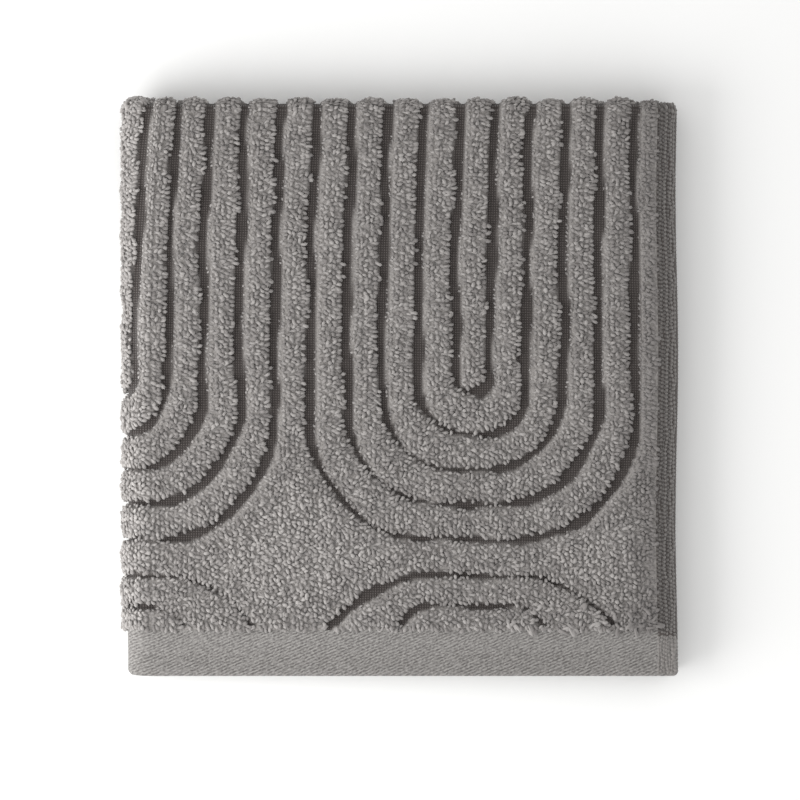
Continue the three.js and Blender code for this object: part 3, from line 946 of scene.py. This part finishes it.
def selvage_turns(side, seed):
    """Short turns of weft yarn round the edge, from the face to the back."""
    shape_points, shape_faces = pressed_loop
    random = np.random.default_rng(seed)
    rows = np.arange(CORNER - HALF_LENGTH, HALF_LENGTH - CORNER, TURN_PITCH)
    reach = TURN_REACH * random.uniform(1 - TURN_SPREAD, 1 + TURN_SPREAD, len(rows))
    tallest = shape_points[:, 0].max()
    out = HALF_WIDTH + TURN_OUTSIDE - reach[:, None] * (1 - shape_points[:, 2])
    along = rows[:, None] + TURN_YARN * shape_points[:, 1]
    high = (HEM_THICKNESS / 2 + TURN_RAISED) * (1 + shape_points[:, 0] / tallest) - TURN_SUNK
    points = np.stack([side * out, along, high + 0 * out], axis=-1).reshape(-1, 3)
    starts = range(0, len(points), len(shape_points))
    faces = [[start + corner for corner in face] for start in starts for face in shape_faces]
    if side < 0:
        faces = [face[::-1] for face in faces]
    in_border = smooth_step(-rows, PILE_END, PILE_END + BORDER_CHANGE)
    shade = random.uniform(*TURN_SHADES, len(rows)) + TURN_BORDER_SHADE * in_border
    shade = np.repeat(shade, len(shape_points))
    return points, faces, shade


def joined(parts):
    """Several lots of points, faces and shades as one."""
    starts = np.cumsum([0, *(len(points) for points, _, _ in parts)])
    points = np.concatenate([part[0] for part in parts])
    faces = [
        [start + corner for corner in face] for start, part in zip(starts, parts) for face in part[1]
    ]
    return points, faces, np.concatenate([part[2] for part in parts])


UNSEEN_THREAD_STEP = 4
thread_rows = spaced(
    (THREAD_END - HALF_LENGTH, KNOT_PITCH / 3),
    (-FIRST_REACH, KNOT_PITCH / 3),
    (FIRST_REACH, UNSEEN_THREAD_STEP),
    (HALF_LENGTH - THREAD_END, UNSEEN_THREAD_STEP),
)
for side, name, width in ((1, "right", SIDE_HEM), (-1, "left", FAR_SIDE_HEM)):
    count = round((width - TURN_REACH / 2) / THREAD_PITCH)
    inner = HALF_WIDTH - width + THREAD_PITCH / 2
    parts = [
        selvage_thread(side * (inner + i * THREAD_PITCH), THREAD_SHADES[i], thread_rows, seed=40 + i)
        for i in range(count)
    ]
    points, faces, shade = joined([*parts, selvage_turns(side, seed=50)])
    add_piece(f"{name}_selvage", points, faces, [selvage_yarn], {"tone_and_painted_light": shade})


# The studio
# A pale floor, one large soft light low on the left and a little towards the cloth's open end, and even
# light from all round.
FLOOR_HALF = 1.5
ROOM_LIGHT = 0.85
KEY_PLACE = (-0.34, -0.13, 0.22)
KEY_SIZE = 0.4
KEY_POWER = 1.55
bpy.ops.object.select_all(action="DESELECT")
bpy.ops.mesh.primitive_plane_add(size=2 * FLOOR_HALF, location=(0, 0, 0))
floor = bpy.context.object
floor.name = "floor"
floor_paint = bpy.data.materials.new("floor_paint")
floor_paint.use_nodes = True
shader = floor_paint.node_tree.nodes["Principled BSDF"]
shader.inputs["Base Color"].default_value = linear("#fafaf9")
shader.inputs["Roughness"].default_value = 0.9
floor.data.materials.append(floor_paint)

world = bpy.data.worlds.new("studio_air")
world.use_nodes = True
world.node_tree.nodes["Background"].inputs["Color"].default_value = (1, 1, 1, 1)
world.node_tree.nodes["Background"].inputs["Strength"].default_value = ROOM_LIGHT
bpy.context.scene.world = world

bpy.ops.object.light_add(type="AREA", location=KEY_PLACE)
key = bpy.context.object
key.name = "key_light"
key.data.shape = "DISK"
key.data.size = KEY_SIZE
key.data.energy = KEY_POWER
key.rotation_euler = (-key.location).to_track_quat("-Z", "Y").to_euler()

# The camera looks straight down from far off, and the cloth fills the frame as it does in the photo.
VIEW_WIDTH = 0.2312
VIEW_MIDDLE = (0.0003, -0.0042)
CAMERA_HEIGHT = 2.5
SENSOR_WIDTH = 36
bpy.ops.object.camera_add(location=(*VIEW_MIDDLE, CAMERA_HEIGHT), rotation=(0, 0, 0))
camera = bpy.context.object
camera.data.sensor_width = SENSOR_WIDTH
camera.data.lens = SENSOR_WIDTH * (CAMERA_HEIGHT - box_high.z) / VIEW_WIDTH
bpy.context.scene.camera = camera
bpy.context.scene.view_settings.view_transform = "Standard"
